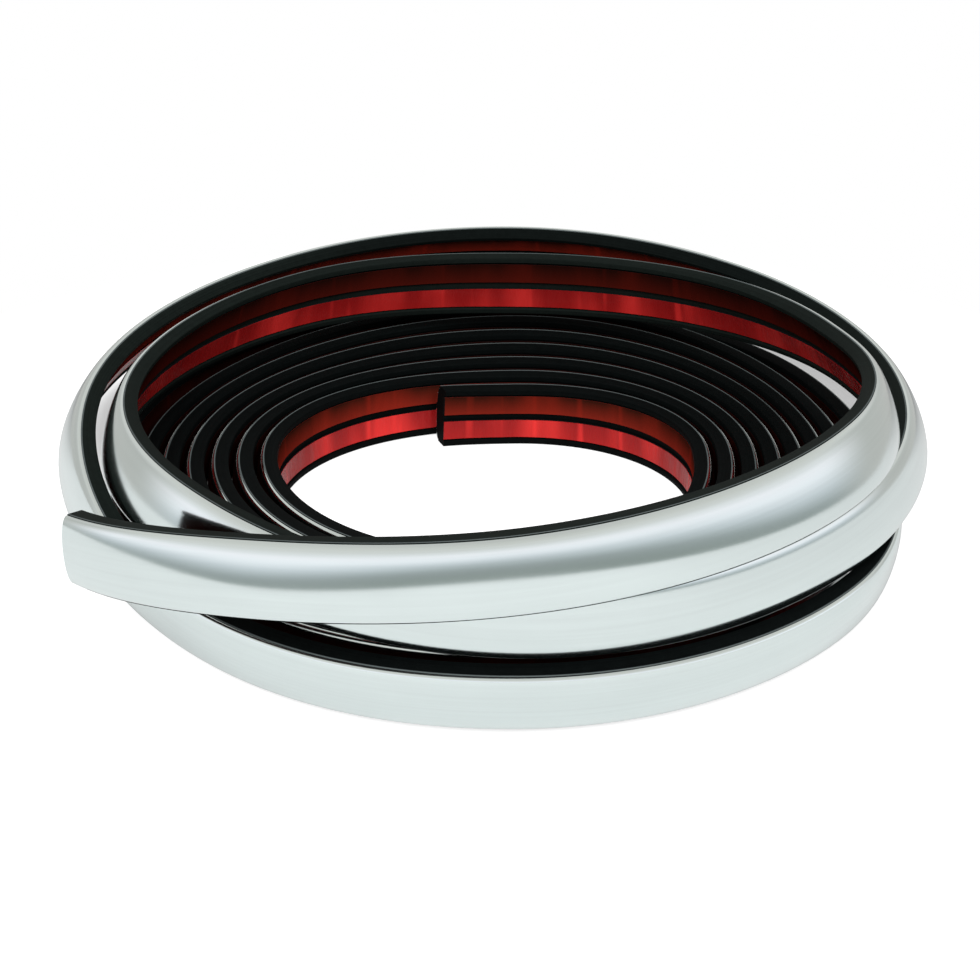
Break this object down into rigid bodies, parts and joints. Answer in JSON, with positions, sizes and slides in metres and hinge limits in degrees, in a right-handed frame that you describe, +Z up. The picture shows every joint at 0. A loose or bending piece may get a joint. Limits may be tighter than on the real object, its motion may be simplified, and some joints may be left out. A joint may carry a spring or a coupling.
{
  "type": "chrome fender trim",
  "caption": "Long domed moulding strip with a bright chrome face, a black flexible back and two adhesive tapes, lying as a loose coil.",
  "frame": {"origin": "on the floor, below the middle of the coil's bounding box", "axes": "+Z up, +Y to the far side of the coil in the picture, +X to its right; the strip's free outer end lies at the left front"},
  "size_m": [0.2372, 0.2478, 0.0633],
  "materials": {
    "black_plastic": "smooth extruded satin black",
    "chrome": "mirror bright film",
    "red_liner": "glossy crinkled release film"
  },
  "bodies": {
    "root": {"trim_body": "black_plastic", "chrome_face": "chrome", "upper_tape": "red_liner", "lower_tape": "red_liner"}
  },
  "joints": []
}
